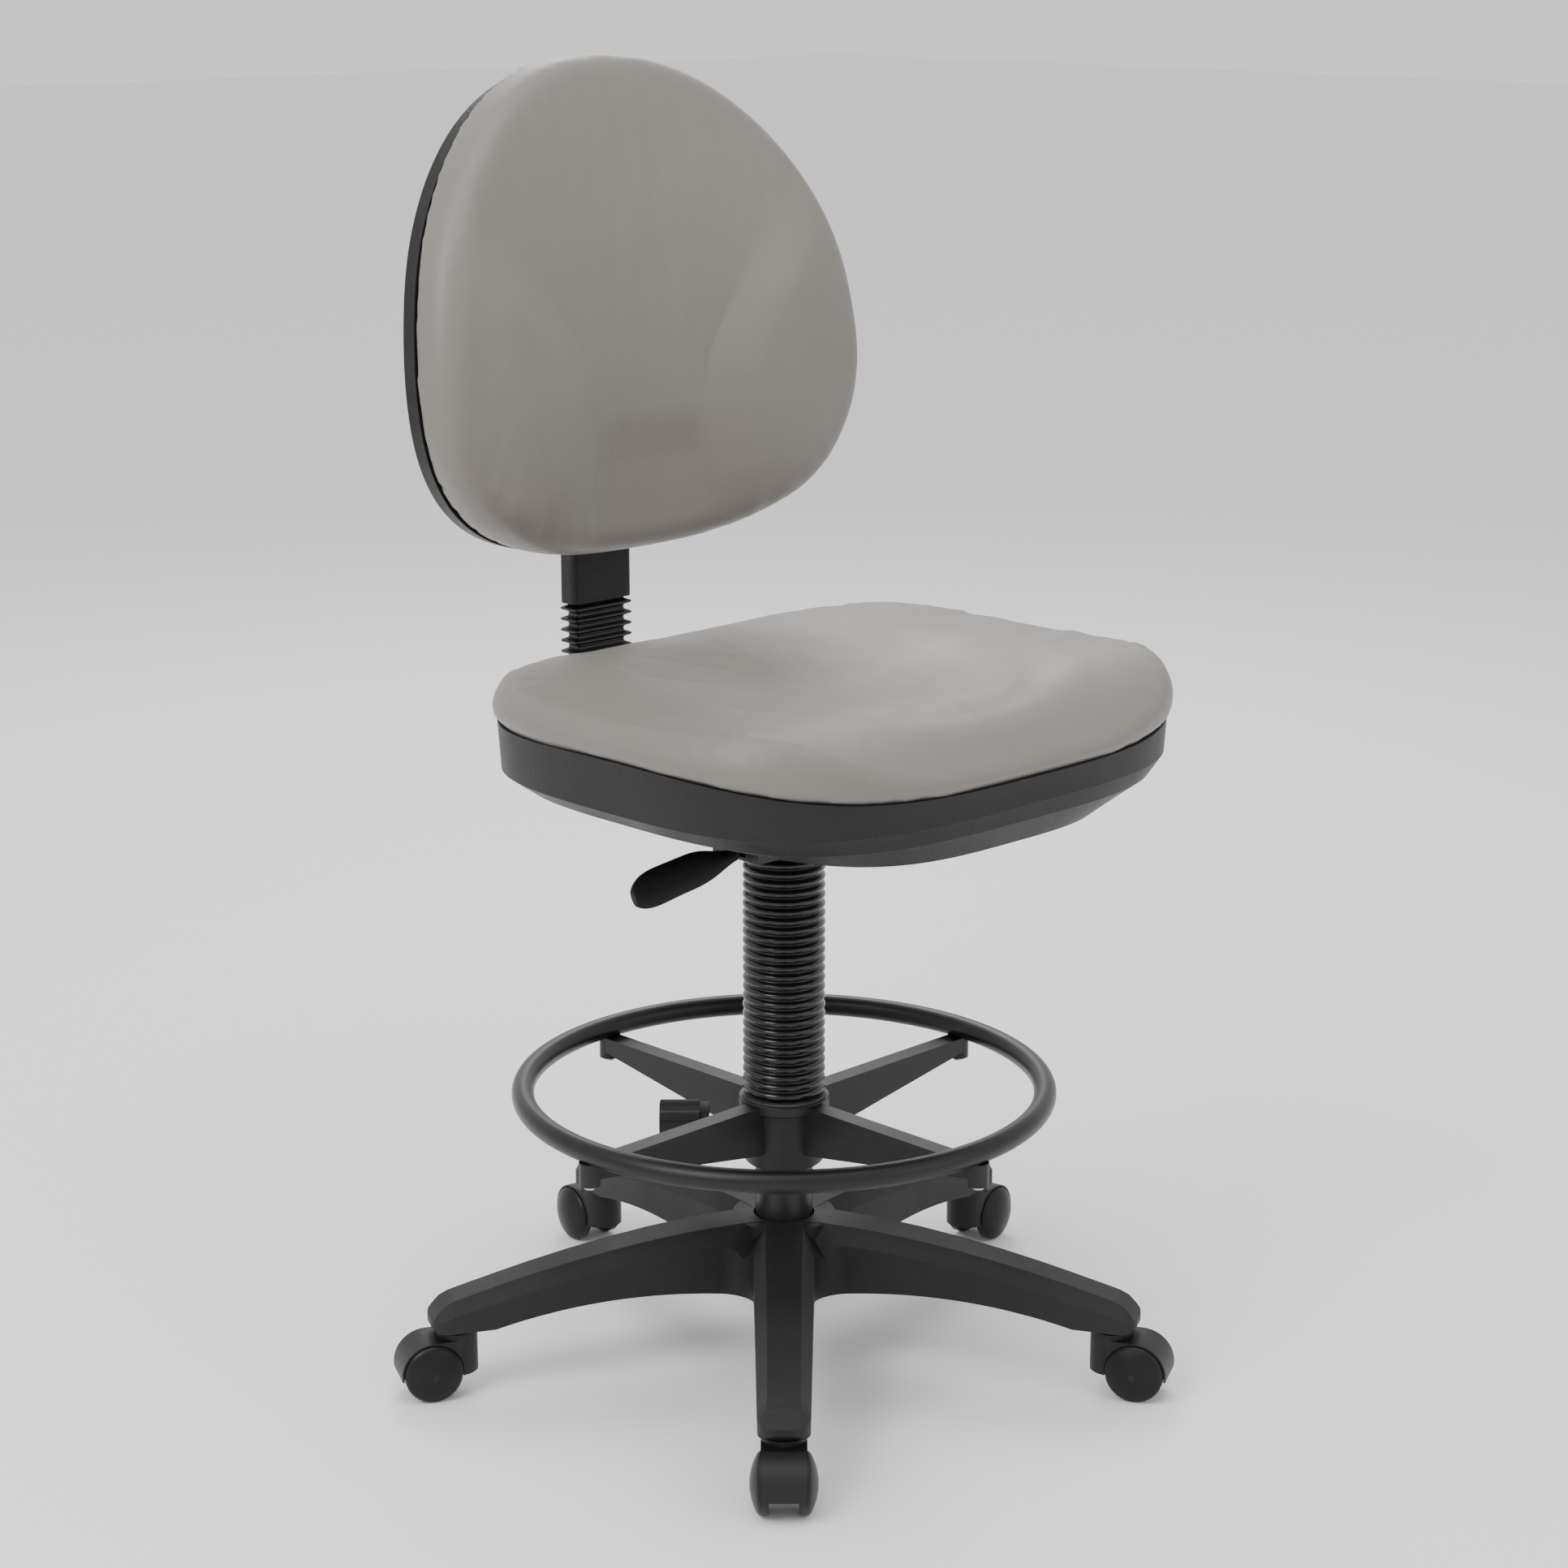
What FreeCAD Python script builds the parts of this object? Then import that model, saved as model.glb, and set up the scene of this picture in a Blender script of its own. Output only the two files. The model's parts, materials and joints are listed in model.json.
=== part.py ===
import FreeCAD, Part
import math
import os

import Sketcher
from FreeCAD import Placement, Rotation, Vector

# Drafting chair, millimetres and degrees.  +Z is up, the origin is on the floor under the
# column, the seat faces -Y and the sitter's right hand is at -X.

DIMENSIONS = {
    # base and casters
    "seat_turn": 44.0,            # angle from the seat's front to the nearest base arm
    "arm_reach": 317.5,
    "arm_root_half": 27.6,
    "arm_tip_half": 21.4,
    "arm_under": 60.0,
    "arm_corner": 15.0,
    "hub_radius": 38.0,
    "hub_top": 127.0,
    "crotch_fillet": 22.0,
    "ring_outer": 30.0,
    "caster_circle": 295.0,
    "caster_trail": 23.3,
    "wheel_radius": 25.0,
    "wheel_inner": 12.0,
    "wheel_flat": 19.5,
    "wheel_outer": 27.5,
    "axle_radius": 3.0,
    "axle_half": 22.0,
    "hood_radius": 27.4,
    "hood_inner": 25.8,
    "hood_half": 18.6,
    "hood_core_half": 11.6,
    "hood_base": 20.5,
    "neck_top": 57.4,
    "stem_radius": 5.5,
    "stem_foot": 34.0,
    "stem_head": 82.0,
    # column
    "tube_radius": 25.0,
    "tube_wall": 2.0,
    "tube_base": 64.0,
    "tube_top": 350.0,
    "spring_radius": 14.0,
    "spring_bore": 12.2,
    "spring_base": 84.0,
    "spring_top": 486.0,
    "rod_radius": 5.0,
    "piston_base": 296.0,
    "bellows_base": 239.6,
    "bellows_top": 454.0,
    "bellows_outer": 35.8,
    "bellows_inner": 31.0,
    "bellows_wall": 1.0,
    # footring
    "footring_radius": 225.7,
    "footring_tube": 9.8,
    "spoke_top": 234.0,
    "spoke_width": 17.0,
    "spoke_root_under": 190.0,
    "spoke_tip_under": 220.0,
    "collar_radius": 34.0,
    "collar_flange": 39.5,
    "collar_base": 176.0,
    "collar_bore": 27.2,
    "knob_height": 212.0,
    "knob_radius": 18.0,
    "knob_start": 65.0,
    "knob_length": 43.0,
    "stud_radius": 4.0,
    # seat
    "seat_half_width": 262.0,
    "seat_half_depth": 222.0,
    "seat_centre": -62.0,
    "seat_square": 3.3,
    "seat_rim": 593.0,
    "seat_front_dip": 22.0,
    "seat_hollow": 611.0,
    "pan_floor": 506.0,
    "pan_wall": 3.0,
    "board_thick": 12.0,
    "plate_half": 62.0,
    "plate_front": -92.0,
    "housing_half": 53.0,
    "housing_waist": 32.0,
    "housing_front": -24.0,
    "housing_rear": 92.0,
    "housing_shoulder": 32.0,
    "housing_base": 457.0,
    "housing_top": 505.6,
    "housing_wall": 3.0,
    "lever_pivot": 42.0,
    "lever_wire": 4.0,
    # back
    "bar_centre": 240.0,
    "bar_thick": 8.0,
    "bar_half": 25.0,
    "bar_top": 775.0,
    "sleeve_half": 34.3,
    "sleeve_depth": 21.0,
    "sleeve_base": 638.0,
    "sleeve_top": 800.0,
    "accordion_base": 560.0,
    "back_half": 236.0,
    "back_taper": 0.125,
    "back_centre": 900.5,
    "back_half_height": 210.0,
    "back_round_top": 2.14,
    "back_round_base": 2.5,
    "back_wrap": 33.0,
    "shell_depth": 14.0,
    "shell_wall": 3.0,
    "back_pad": 58.0,
}

doc = FreeCAD.newDocument("drafting_chair")
sheet = doc.addObject("Spreadsheet::Sheet", "dims")
for row, (alias, number) in enumerate(DIMENSIONS.items(), start=1):
    sheet.set(f"A{row}", alias)
    sheet.set(f"B{row}", str(number))
    sheet.setAlias(f"B{row}", alias)
doc.recompute()


class Size:
    """A length that carries its number and the sheet expression it comes from."""

    def __init__(self, text, value):
        self.text = text
        self.value = float(value)

    def __add__(self, other):
        other = size(other)
        return Size(f"({self.text} + {other.text})", self.value + other.value)

    def __sub__(self, other):
        other = size(other)
        return Size(f"({self.text} - {other.text})", self.value - other.value)

    def __mul__(self, other):
        other = size(other)
        return Size(f"({self.text} * {other.text})", self.value * other.value)

    def __neg__(self):
        return Size(f"(0 - {self.text})", -self.value)


def size(item):
    """A Size for a sheet alias, a plain number or a Size."""
    if isinstance(item, Size):
        return item
    if isinstance(item, str):
        return Size(f"dims.{item}", sheet.get(item))
    return Size(f"({float(item)})", item)


def number(item):
    return size(item).value


def dome_radius(reach, rise):
    """Radius of the sphere whose cap is as wide as reach and as high as rise."""
    value = (reach.value ** 2 + rise.value ** 2) / (2 * rise.value)
    return Size(f"(({reach.text} ^ 2 + {rise.text} ^ 2) / (2 * {rise.text}))", value)


def bind(thing, prop, item):
    """Tie a property of an object to the sheet."""
    thing.setExpression(prop, size(item).text)


# ---------------------------------------------------------------- sketches and bodies

def arc_between(first, last, radius, turn):
    """The short arc between two points; turn is 1 when it runs anticlockwise, -1 when clockwise."""
    half = (last - first) * 0.5
    rise = math.sqrt(radius ** 2 - half.Length ** 2)
    side = Vector(-half.y, half.x, 0).normalize() * turn
    centre = first + half + side * rise
    low, high = (first, last) if turn > 0 else (last, first)
    start = math.atan2(low.y - centre.y, low.x - centre.x)
    end = math.atan2(high.y - centre.y, high.x - centre.x)
    return Part.ArcOfCircle(Part.Circle(centre, Vector(0, 0, 1), radius), start, end)


def attach(sketch, body, role, lift=0.0):
    plane = next(item for item in body.Origin.OriginFeatures if item.Role == role)
    sketch.AttachmentSupport = [(plane, "")]
    sketch.MapMode = "FlatFace"
    sketch.AttachmentOffset = Placement(Vector(0, 0, number(lift)), Rotation())


def tie_point(sketch, edge, end, across, up):
    """Hold one end of an edge at a place that the sheet gives."""
    for kind, axis, item in (("DistanceX", -2, across), ("DistanceY", -1, up)):
        if item.value == 0:
            sketch.addConstraint(Sketcher.Constraint("PointOnObject", edge, end, axis))
        else:
            index = sketch.addConstraint(Sketcher.Constraint(kind, -1, 1, edge, end, item.value))
            sketch.setExpression(f"Constraints[{index}]", item.text)


def outline(body, name, role, corners, lift=0.0):
    """A closed outline.  A corner is (x, y), or (x, y, radius, turn) where an arc leaves it."""
    sketch = body.newObject("Sketcher::SketchObject", name)
    attach(sketch, body, role, lift)
    places = [(size(corner[0]), size(corner[1])) for corner in corners]
    points = [Vector(across.value, up.value, 0) for across, up in places]
    count = len(corners)
    ends = []
    for index, corner in enumerate(corners):
        first, last = points[index], points[(index + 1) % count]
        if len(corner) == 4:
            sketch.addGeometry(arc_between(first, last, number(corner[2]), corner[3]), False)
            ends.append((1, 2) if corner[3] > 0 else (2, 1))
        else:
            sketch.addGeometry(Part.LineSegment(first, last), False)
            ends.append((1, 2))
    for index in range(count):
        after = (index + 1) % count
        sketch.addConstraint(
            Sketcher.Constraint("Coincident", index, ends[index][1], after, ends[after][0]))
    for index, (across, up) in enumerate(places):
        tie_point(sketch, index, ends[index][0], across, up)
    for index, corner in enumerate(corners):
        if len(corner) == 4:
            radius = size(corner[2])
            tie = sketch.addConstraint(Sketcher.Constraint("Radius", index, radius.value))
            sketch.setExpression(f"Constraints[{tie}]", radius.text)
    return sketch


def circle_sketch(body, name, role, radius, across=0.0, up=0.0, lift=0.0):
    sketch = body.newObject("Sketcher::SketchObject", name)
    attach(sketch, body, role, lift)
    centre = Vector(number(across), number(up), 0)
    sketch.addGeometry(Part.Circle(centre, Vector(0, 0, 1), number(radius)), False)
    tie_point(sketch, 0, 3, size(across), size(up))
    tie = sketch.addConstraint(Sketcher.Constraint("Radius", 0, number(radius)))
    sketch.setExpression(f"Constraints[{tie}]", size(radius).text)
    return sketch


def new_body(label):
    body = doc.addObject("PartDesign::Body", label)
    body.Label = label
    return body


def feature(body, kind, name, sketch):
    made = body.newObject(f"PartDesign::{kind}", name)
    made.Profile = sketch
    return made


def pad(body, name, sketch, length, midplane=False, backwards=False):
    made = feature(body, "Pad", name, sketch)
    bind(made, "Length", length)
    made.Midplane = midplane
    made.Reversed = backwards
    return made


def pocket(body, name, sketch, length, backwards=False):
    """Cut a pocket and make sure that it removes material."""
    doc.recompute()
    before = body.Shape.Volume
    made = feature(body, "Pocket", name, sketch)
    bind(made, "Length", length)
    made.Reversed = backwards
    doc.recompute()
    if made.Shape.Volume > before - 1.0:
        raise RuntimeError(f"{name} cuts nothing")
    return made


def turn_about_z(body, kind, name, sketch):
    made = feature(body, kind, name, sketch)
    made.ReferenceAxis = (sketch, ["V_Axis"])
    made.Angle = 360
    return made


def groove(body, name, corners):
    """Turn an outline about the body's Z axis and take it away."""
    doc.recompute()
    before = body.Shape.Volume
    made = turn_about_z(body, "Groove", name, outline(body, name + "_outline", "XZ_Plane", corners))
    doc.recompute()
    if made.Shape.Volume > before - 1.0:
        raise RuntimeError(f"{name} cuts nothing")
    return made


def turned(label, corners, at=None):
    """A body turned about its own Z axis from an outline of (radius, height) corners."""
    body = new_body(label)
    profile = outline(body, label + "_outline", "XZ_Plane", corners)
    turn_about_z(body, "Revolution", label + "_turn", profile)
    if at is not None:
        body.Placement = at
    return body


def around(body, name, original, sketch, count):
    """Repeat a feature about the body's Z axis."""
    made = body.newObject("PartDesign::PolarPattern", name)
    made.Originals = [original]
    made.Axis = (sketch, ["N_Axis"])
    made.Angle = 360
    made.Occurrences = count
    body.Tip = made
    return made


def edges_where(thing, wanted):
    return [f"Edge{index}" for index, edge in enumerate(thing.Shape.Edges, start=1) if wanted(edge)]


def dress(body, kind, name, base, amount, wanted):
    """Fillet or chamfer the edges of base that are wanted."""
    doc.recompute()
    made = body.newObject(f"PartDesign::{kind}", name)
    made.Base = (base, edges_where(base, wanted))
    bind(made, "Radius" if kind == "Fillet" else "Size", amount)
    doc.recompute()
    return made


def compass(angle):
    """The turn about Z that brings +X to an angle from the seat's front, seen from above."""
    return Rotation(Vector(0, 0, 1), angle - 90.0)


FIRST_ARM = -number("seat_turn")
ARM_COUNT = 5
ARM_ANGLES = [FIRST_ARM + 360.0 / ARM_COUNT * index for index in range(ARM_COUNT)]


# ---------------------------------------------------------------- base

def is_vertical(edge):
    first, last = edge.Vertexes[0].Point, edge.Vertexes[-1].Point
    return abs(first.z - last.z) > 20 and math.hypot(first.x - last.x, first.y - last.y) < 0.01


def is_crotch(edge):
    """A vertical edge where the sides of two arms meet."""
    place = edge.Vertexes[0].Point
    return is_vertical(edge) and number("hub_radius") < math.hypot(place.x, place.y) < 60


def crest(radius):
    """Height of an arm's top facet at a distance from the column; it falls quickly over the nose."""
    start, end = number("hub_radius") + 4, number("arm_reach") - 20
    share = min(1.0, max(0.0, (radius - start) / (end - start))) ** 1.7
    height = number("hub_top") - share * (number("hub_top") - number("arm_under") - 27)
    nose = max(0.0, radius - end) / 26
    return height - 27 * nose ** 1.8


def arm_roof():
    """The space under one arm's top facet and its two bevels, carried on past the arm's sides."""
    reach, under = number("arm_reach"), number("arm_under")
    rings = []
    for share in (0.0, 0.13, 0.26, 0.38, 0.5, 0.61, 0.71, 0.8, 0.88, 0.94, 0.965, 0.985, 1.0, 1.02):
        radius = reach * share
        top = crest(radius)
        facet = 17.0 - 3.6 * min(1.0, share / 0.8)
        wide = facet + 34
        eave = top - 1.35 * (wide - facet)
        half = [(wide, under - 60), (wide, eave), (facet, top)]
        corners = half + [(-across, up) for across, up in reversed(half)]
        places = [Vector(radius, across, up) for across, up in corners]
        rings.append(Part.makePolygon(places + places[:1]))
    return Part.makeLoft(rings, True, True)


def make_star_base():
    """Five tapered arms and a hub, bevelled along the top and bored for the column and the stems."""
    body = new_body("star_stock")
    reach, corner = size("arm_reach"), size("arm_corner")
    root, tip = size("arm_root_half"), size("arm_tip_half")
    under, top, hub = size("arm_under"), size("hub_top"), size("hub_radius")
    plan = outline(body, "arm_plan", "XY_Plane", [
        (0, -root),
        (reach - corner, -tip, corner, 1),
        (reach, corner - tip),
        (reach, tip - corner, corner, 1),
        (reach - corner, tip),
        (0, root)], under - 15)
    arm = pad(body, "arm", plan, top - under + 30)
    doc.recompute()
    around(body, "arms", arm, plan, ARM_COUNT)
    doc.recompute()
    dress(body, "Fillet", "crotches", body.Tip, "crotch_fillet", is_crotch)
    below, beyond = under - 30, reach + 20
    groove(body, "lower_side", [
        (0, below),
        (beyond, below),
        (beyond, under + 4),
        (reach, under + 4),
        (reach - 4, under),
        (reach - 52, under, 500, 1),
        (hub + 20, under + 6),
        (0, under + 6)])
    roof = arm_roof()
    roofs = [roof.rotated(Vector(), Vector(0, 0, 1), 360.0 / ARM_COUNT * index) for index in range(ARM_COUNT)]
    hub_stock = Part.makeCylinder(hub.value + 7, top.value - 0.4)
    envelope = solid("arm_roofs", hub_stock.multiFuse(roofs))
    capped = doc.addObject("Part::Common", "capped_star")
    capped.Base = body
    capped.Tool = envelope
    seat = cylinder("ring_seat", "ring_outer", 55, (0, 0, under - 10), (0, 0, 1))
    mouth = cylinder("mouth", size("tube_radius") + 1.6, 100, (0, 0, under - 10), (0, 0, 1))
    sockets = []
    for index in range(ARM_COUNT):
        depth = size("stem_head") - under + 10.5
        socket = cylinder(f"stem_socket_{index}", size("stem_radius") + 0.05, depth, (0, 0, 0), (0, 0, 1))
        turn = Rotation(Vector(0, 0, 1), 360.0 / ARM_COUNT * index)
        socket.Placement = Placement(turn.multVec(Vector(number("caster_circle"), 0, under.value - 10)), turn)
        sockets.append(socket)
    made = cut("star_base", capped, fuse("star_bores", [seat, mouth] + sockets))
    made.Placement = Placement(Vector(), compass(FIRST_ARM))
    return made


def local(radius, angle, height=0.0):
    """A place at a distance and angle about the column; its +X points outward."""
    turn = compass(angle)
    return Placement(turn.multVec(Vector(radius, 0, height)), turn)


def cylinder(name, radius, length, foot, axis):
    made = doc.addObject("Part::Cylinder", name)
    bind(made, "Radius", radius)
    bind(made, "Height", length)
    place = Vector(*(number(item) for item in foot))
    made.Placement = Placement(place, Rotation(Vector(0, 0, 1), Vector(*axis)))
    return made


def block(name, corner, lengths):
    made = doc.addObject("Part::Box", name)
    for prop, item in zip(("Length", "Width", "Height"), lengths):
        bind(made, prop, item)
    made.Placement = Placement(Vector(*(number(item) for item in corner)), Rotation())
    return made


def fuse(name, shapes, label=None):
    made = doc.addObject("Part::MultiFuse", name)
    made.Shapes = shapes
    made.Label = label or name
    return made


def cut(name, base, tool, label=None):
    made = doc.addObject("Part::Cut", name)
    made.Base = base
    made.Tool = tool
    made.Label = label or name
    return made


def solid(label, shape, at=None):
    """A piece whose shape is worked out here from the sheet's sizes."""
    made = doc.addObject("Part::Feature", label)
    made.Label = label
    made.Shape = shape
    if at is not None:
        made.Placement = at
    return made


def make_hub_ring():
    tube, outer, under = size("tube_radius"), size("ring_outer"), size("arm_under")
    return turned("hub_ring", [
        (tube, under + 6.5), (outer, under + 6.5), (outer, under + 44), (tube, under + 44)])


# ---------------------------------------------------------------- casters

def make_caster_stem(label, at):
    """Plain stem with a collar that keeps the hood clear of the arm."""
    radius, collar = size("stem_radius"), size("neck_top") + 0.4
    return turned(label, [
        (0, "stem_foot"), (radius, "stem_foot"), (radius, collar), (radius + 3.5, collar),
        (radius + 3.5, "arm_under"), (radius, "arm_under"), (radius, "stem_head"), (0, "stem_head")], at)


def make_caster_housing(label, at):
    """Moulded neck and hood: a solid core between the wheels and a thin arch over each of them."""
    trail, height, half = size("caster_trail"), size("wheel_radius"), size("hood_half")
    core, base, top = size("hood_core_half"), size("hood_base"), size("neck_top")
    across = (0, 1, 0)
    arch = cylinder(label + "_arch", "hood_radius", half * 2, (trail, -half, height), across)
    neck = cylinder(label + "_neck", half, top - base, (0, 0, base), (0, 0, 1))
    crest_height = height + size("hood_radius") - base
    bridge = block(label + "_bridge", (0, -half, base), (trail, half * 2, crest_height))
    body = fuse(label + "_body", [arch, neck, bridge])
    wells = [cylinder(f"{label}_well_{side}", "hood_inner", 20, (trail, foot, height), across)
             for side, foot in (("left", core), ("right", -core - 20))]
    skirt = block(label + "_skirt", (-40, -40, base - 60), (120, 80, 60))
    stem_hole = cylinder(label + "_stem_hole", size("stem_radius") + 0.05, 60,
                         (0, 0, size("stem_foot") - 0.5), (0, 0, 1))
    axle_hole = cylinder(label + "_axle_hole", "axle_radius", 80, (trail, -40, height), across)
    cutters = fuse(label + "_cutters", wells + [skirt, stem_hole, axle_hole])
    made = cut(label, body, cutters)
    made.Placement = at
    return made


def make_caster_axle(label, at):
    made = cylinder(label, "axle_radius", size("axle_half") * 2,
                    ("caster_trail", -size("axle_half"), "wheel_radius"), (0, 1, 0))
    made.Placement = at.multiply(made.Placement)
    return made


def make_caster_wheel(label, at, side):
    """A wheel with a plain tread and a domed outer face; side is 1 or -1 along the axle."""
    inner, flat, outer = size("wheel_inner"), size("wheel_flat"), size("wheel_outer")
    radius = size("wheel_radius")
    bore, depth = size("axle_radius") + 0.05, size("axle_half") + 0.5
    shoulder = flat + 1.8
    crown = dome_radius(radius - 1.6, outer - shoulder)
    lean = Placement(Vector(number("caster_trail"), 0, radius.value),
                     Rotation(Vector(0, 0, 1), Vector(0, side, 0)))
    return turned(label, [
        (bore, inner), (radius - 1, inner), (radius, inner + 1), (radius, flat),
        (radius - 1.6, shoulder, crown, 1), (0, outer), (0, depth), (bore, depth)], at.multiply(lean))


def make_caster(index, angle):
    """One caster; it trails outward at rest."""
    at = local(number("caster_circle"), angle)
    name = f"caster_{index}"
    return {
        f"{name}_stem": make_caster_stem(f"{name}_stem", at),
        f"{name}_housing": make_caster_housing(f"{name}_housing", at),
        f"{name}_axle": make_caster_axle(f"{name}_axle", at),
        f"{name}_left_wheel": make_caster_wheel(f"{name}_left_wheel", at, 1),
        f"{name}_right_wheel": make_caster_wheel(f"{name}_right_wheel", at, -1),
    }


# ---------------------------------------------------------------- column

def make_column_tube():
    """Stand tube with a floor that carries the piston rod."""
    outer, wall, base, top = size("tube_radius"), size("tube_wall"), size("tube_base"), size("tube_top")
    hole = size("rod_radius") + 0.6
    return turned("column_tube", [
        (hole, base), (outer, base), (outer, top), (outer - wall, top),
        (outer - wall, base + 4), (hole, base + 4)])


def make_guide_bush():
    bore, outer, top = size("spring_radius") + 0.05, size("tube_radius"), size("tube_top")
    return turned("guide_bush", [
        (bore, top - 60), (outer - size("tube_wall"), top - 60), (outer - size("tube_wall"), top),
        (outer, top), (outer, top + 3), (bore, top + 3)])


def make_pressure_tube():
    """Outer tube of the gas spring: gland at the foot, valve seat and taper at the head."""
    outer, bore = size("spring_radius"), size("spring_bore")
    base, top = size("spring_base"), size("spring_top")
    gland = size("rod_radius") + 0.05
    return turned("pressure_tube", [
        (gland, base), (outer, base), (outer, top - 46), (outer - 0.8, top), (3.05, top), (3.05, top - 12),
        (bore, top - 12), (bore, base + 16), (gland, base + 16)])


def make_piston_rod():
    radius, base = size("rod_radius"), size("tube_base")
    return turned("piston_rod", [
        (0, base - 4), (radius, base - 4), (radius, base + 10.4), (radius + 4, base + 10.4),
        (radius + 4, base + 14), (radius, base + 14), (radius, size("piston_base") + 14),
        (0, size("piston_base") + 14)])


def make_piston():
    radius, base = size("rod_radius"), size("piston_base")
    return turned("piston", [
        (radius, base), (size("spring_bore") - 0.1, base), (size("spring_bore") - 0.1, base + 14),
        (radius, base + 14)])


def make_thrust_bearing():
    bore, base = size("rod_radius") + 0.1, size("tube_base") + 4
    return turned("thrust_bearing", [
        (bore, base), (bore + 7, base), (bore + 7, base + 6.1), (bore, base + 6.1)])


def make_rod_clip():
    radius, base = size("rod_radius"), size("tube_base")
    return turned("rod_clip", [(radius, base - 2.3), (radius + 4, base - 2.3), (radius + 4, base - 0.4),
                               (radius, base - 0.4)])


def make_release_pin():
    top = size("spring_top")
    return turned("release_pin", [(0, top - 10), (2.98, top - 10), (2.98, top + 3.7), (0, top + 3.7)])


def make_column_bellows():
    """Ribbed sleeve: a zigzag wall turned about the column."""
    base, top = number("bellows_base"), number("bellows_top")
    outer, inner, wall = number("bellows_outer"), number("bellows_inner"), number("bellows_wall")
    ribs = 25
    step = (top - base) / ribs
    outside = []
    inside = []
    for index in range(ribs):
        foot = base + index * step
        outside += [Vector(inner, 0, foot), Vector(outer, 0, foot + step * 0.5)]
        inside += [Vector(inner - wall, 0, foot), Vector(outer - wall, 0, foot + step * 0.5)]
    outside.append(Vector(inner, 0, top))
    inside.append(Vector(inner - wall, 0, top))
    profile = Part.Face(Part.makePolygon(outside + inside[::-1] + [outside[0]]))
    return solid("column_bellows", profile.revolve(Vector(), Vector(0, 0, 1), 360))


# ---------------------------------------------------------------- footring

def make_footring_hub():
    """Split-bush collar with four cast spokes that end in bosses under the ring."""
    body = new_body("footring_hub")
    collar, flange = size("collar_radius"), size("collar_flange")
    base, bore = size("collar_base"), size("collar_bore")
    top, ring, width = size("spoke_top"), size("footring_radius"), size("spoke_width")
    turn_about_z(body, "Revolution", "collar", outline(body, "collar_outline", "XZ_Plane", [
        (bore, base), (collar - 1.5, base), (collar, base + 1.5), (collar, top - 9), (flange, top - 6),
        (flange, top + 1.2), (flange - 0.8, top + 2), (bore, top + 2)]))
    side = outline(body, "spoke_side", "XZ_Plane", [
        (bore + 2, "spoke_root_under"), (collar + 3, "spoke_root_under"), (ring - 6, "spoke_tip_under"),
        (ring, "spoke_tip_under"), (ring, top), (bore + 2, top)])
    spoke = pad(body, "spoke", side, width, midplane=True)
    doc.recompute()
    around(body, "spokes", spoke, circle_sketch(body, "spoke_axis", "XY_Plane", 5.0), 4)
    doc.recompute()
    boss_base = size("spoke_tip_under") - 6
    boss_plan = circle_sketch(body, "boss_plan", "XY_Plane", width * 0.5 + 0.5, ring, lift=boss_base)
    boss = pad(body, "boss", boss_plan, top - boss_base)
    doc.recompute()
    around(body, "bosses", boss, boss_plan, 4)
    doc.recompute()
    saddle = feature(body, "Groove", "ring_saddle", circle_sketch(
        body, "saddle_plan", "XZ_Plane", size("footring_tube"), ring, top + size("footring_tube") - 1.2))
    saddle.ReferenceAxis = (saddle.Profile[0], ["V_Axis"])
    saddle.Angle = 360
    doc.recompute()
    screw_plan = circle_sketch(body, "screw_hole_plan", "XY_Plane", 2.6, ring, lift=base)
    hole = pocket(body, "screw_hole", screw_plan, 80, True)
    around(body, "screw_holes", hole, screw_plan, 4)
    doc.recompute()
    stud_boss = body.newObject("PartDesign::AdditiveCylinder", "stud_boss")
    bind(stud_boss, "Radius", size("stud_radius") + 5)
    bind(stud_boss, "Height", 18)
    outward = Vector(-math.cos(math.radians(45)), -math.sin(math.radians(45)), 0)
    aim = Rotation(Vector(0, 0, 1), outward)
    level = Vector(0, 0, number("knob_height"))
    stud_boss.Placement = Placement(outward * (bore.value + 3) + level, aim)
    doc.recompute()
    stud_hole = body.newObject("PartDesign::SubtractiveCylinder", "stud_hole")
    bind(stud_hole, "Radius", size("stud_radius") + 0.05)
    bind(stud_hole, "Height", 40)
    stud_hole.Placement = Placement(outward * (bore.value - 5) + level, aim)
    doc.recompute()
    body.Placement = Placement(Vector(), compass(FIRST_ARM + 45))
    return body


def make_footring_tube():
    ring = doc.addObject("Part::Torus", "footring_stock")
    bind(ring, "Radius1", "footring_radius")
    bind(ring, "Radius2", "footring_tube")
    ring.Placement = Placement(Vector(0, 0, number("spoke_top") + number("footring_tube") - 1.2), Rotation())
    drill = [cylinder(f"ring_hole_{index}", 2.6, 14, (0, 0, 0), (0, 0, 1)) for index in range(4)]
    for index, tool in enumerate(drill):
        angle = FIRST_ARM + 45 + 90 * index
        tool.Placement = local(number("footring_radius"), angle, number("spoke_top") - 5)
    hollow = doc.addObject("Part::Torus", "footring_hollow")
    bind(hollow, "Radius1", "footring_radius")
    bind(hollow, "Radius2", size("footring_tube") - 1.5)
    hollow.Placement = ring.Placement
    return cut("footring_tube", ring, fuse("ring_holes", drill + [hollow]))


def make_footring_screws():
    """Four screws that hold the ring on the spoke ends from below."""
    radius, head = 2.5, 4.6
    foot = number("spoke_tip_under") - 6
    screw = Part.makeCylinder(radius, 24, Vector(0, 0, foot))
    screw = screw.fuse(Part.makeCylinder(head, 3, Vector(0, 0, foot - 3)))
    screws = []
    for index in range(4):
        copy = screw.copy()
        copy.Placement = local(number("footring_radius"), FIRST_ARM + 45 + 90 * index)
        screws.append(copy)
    return solid("footring_screws", Part.makeCompound(screws))


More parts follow.
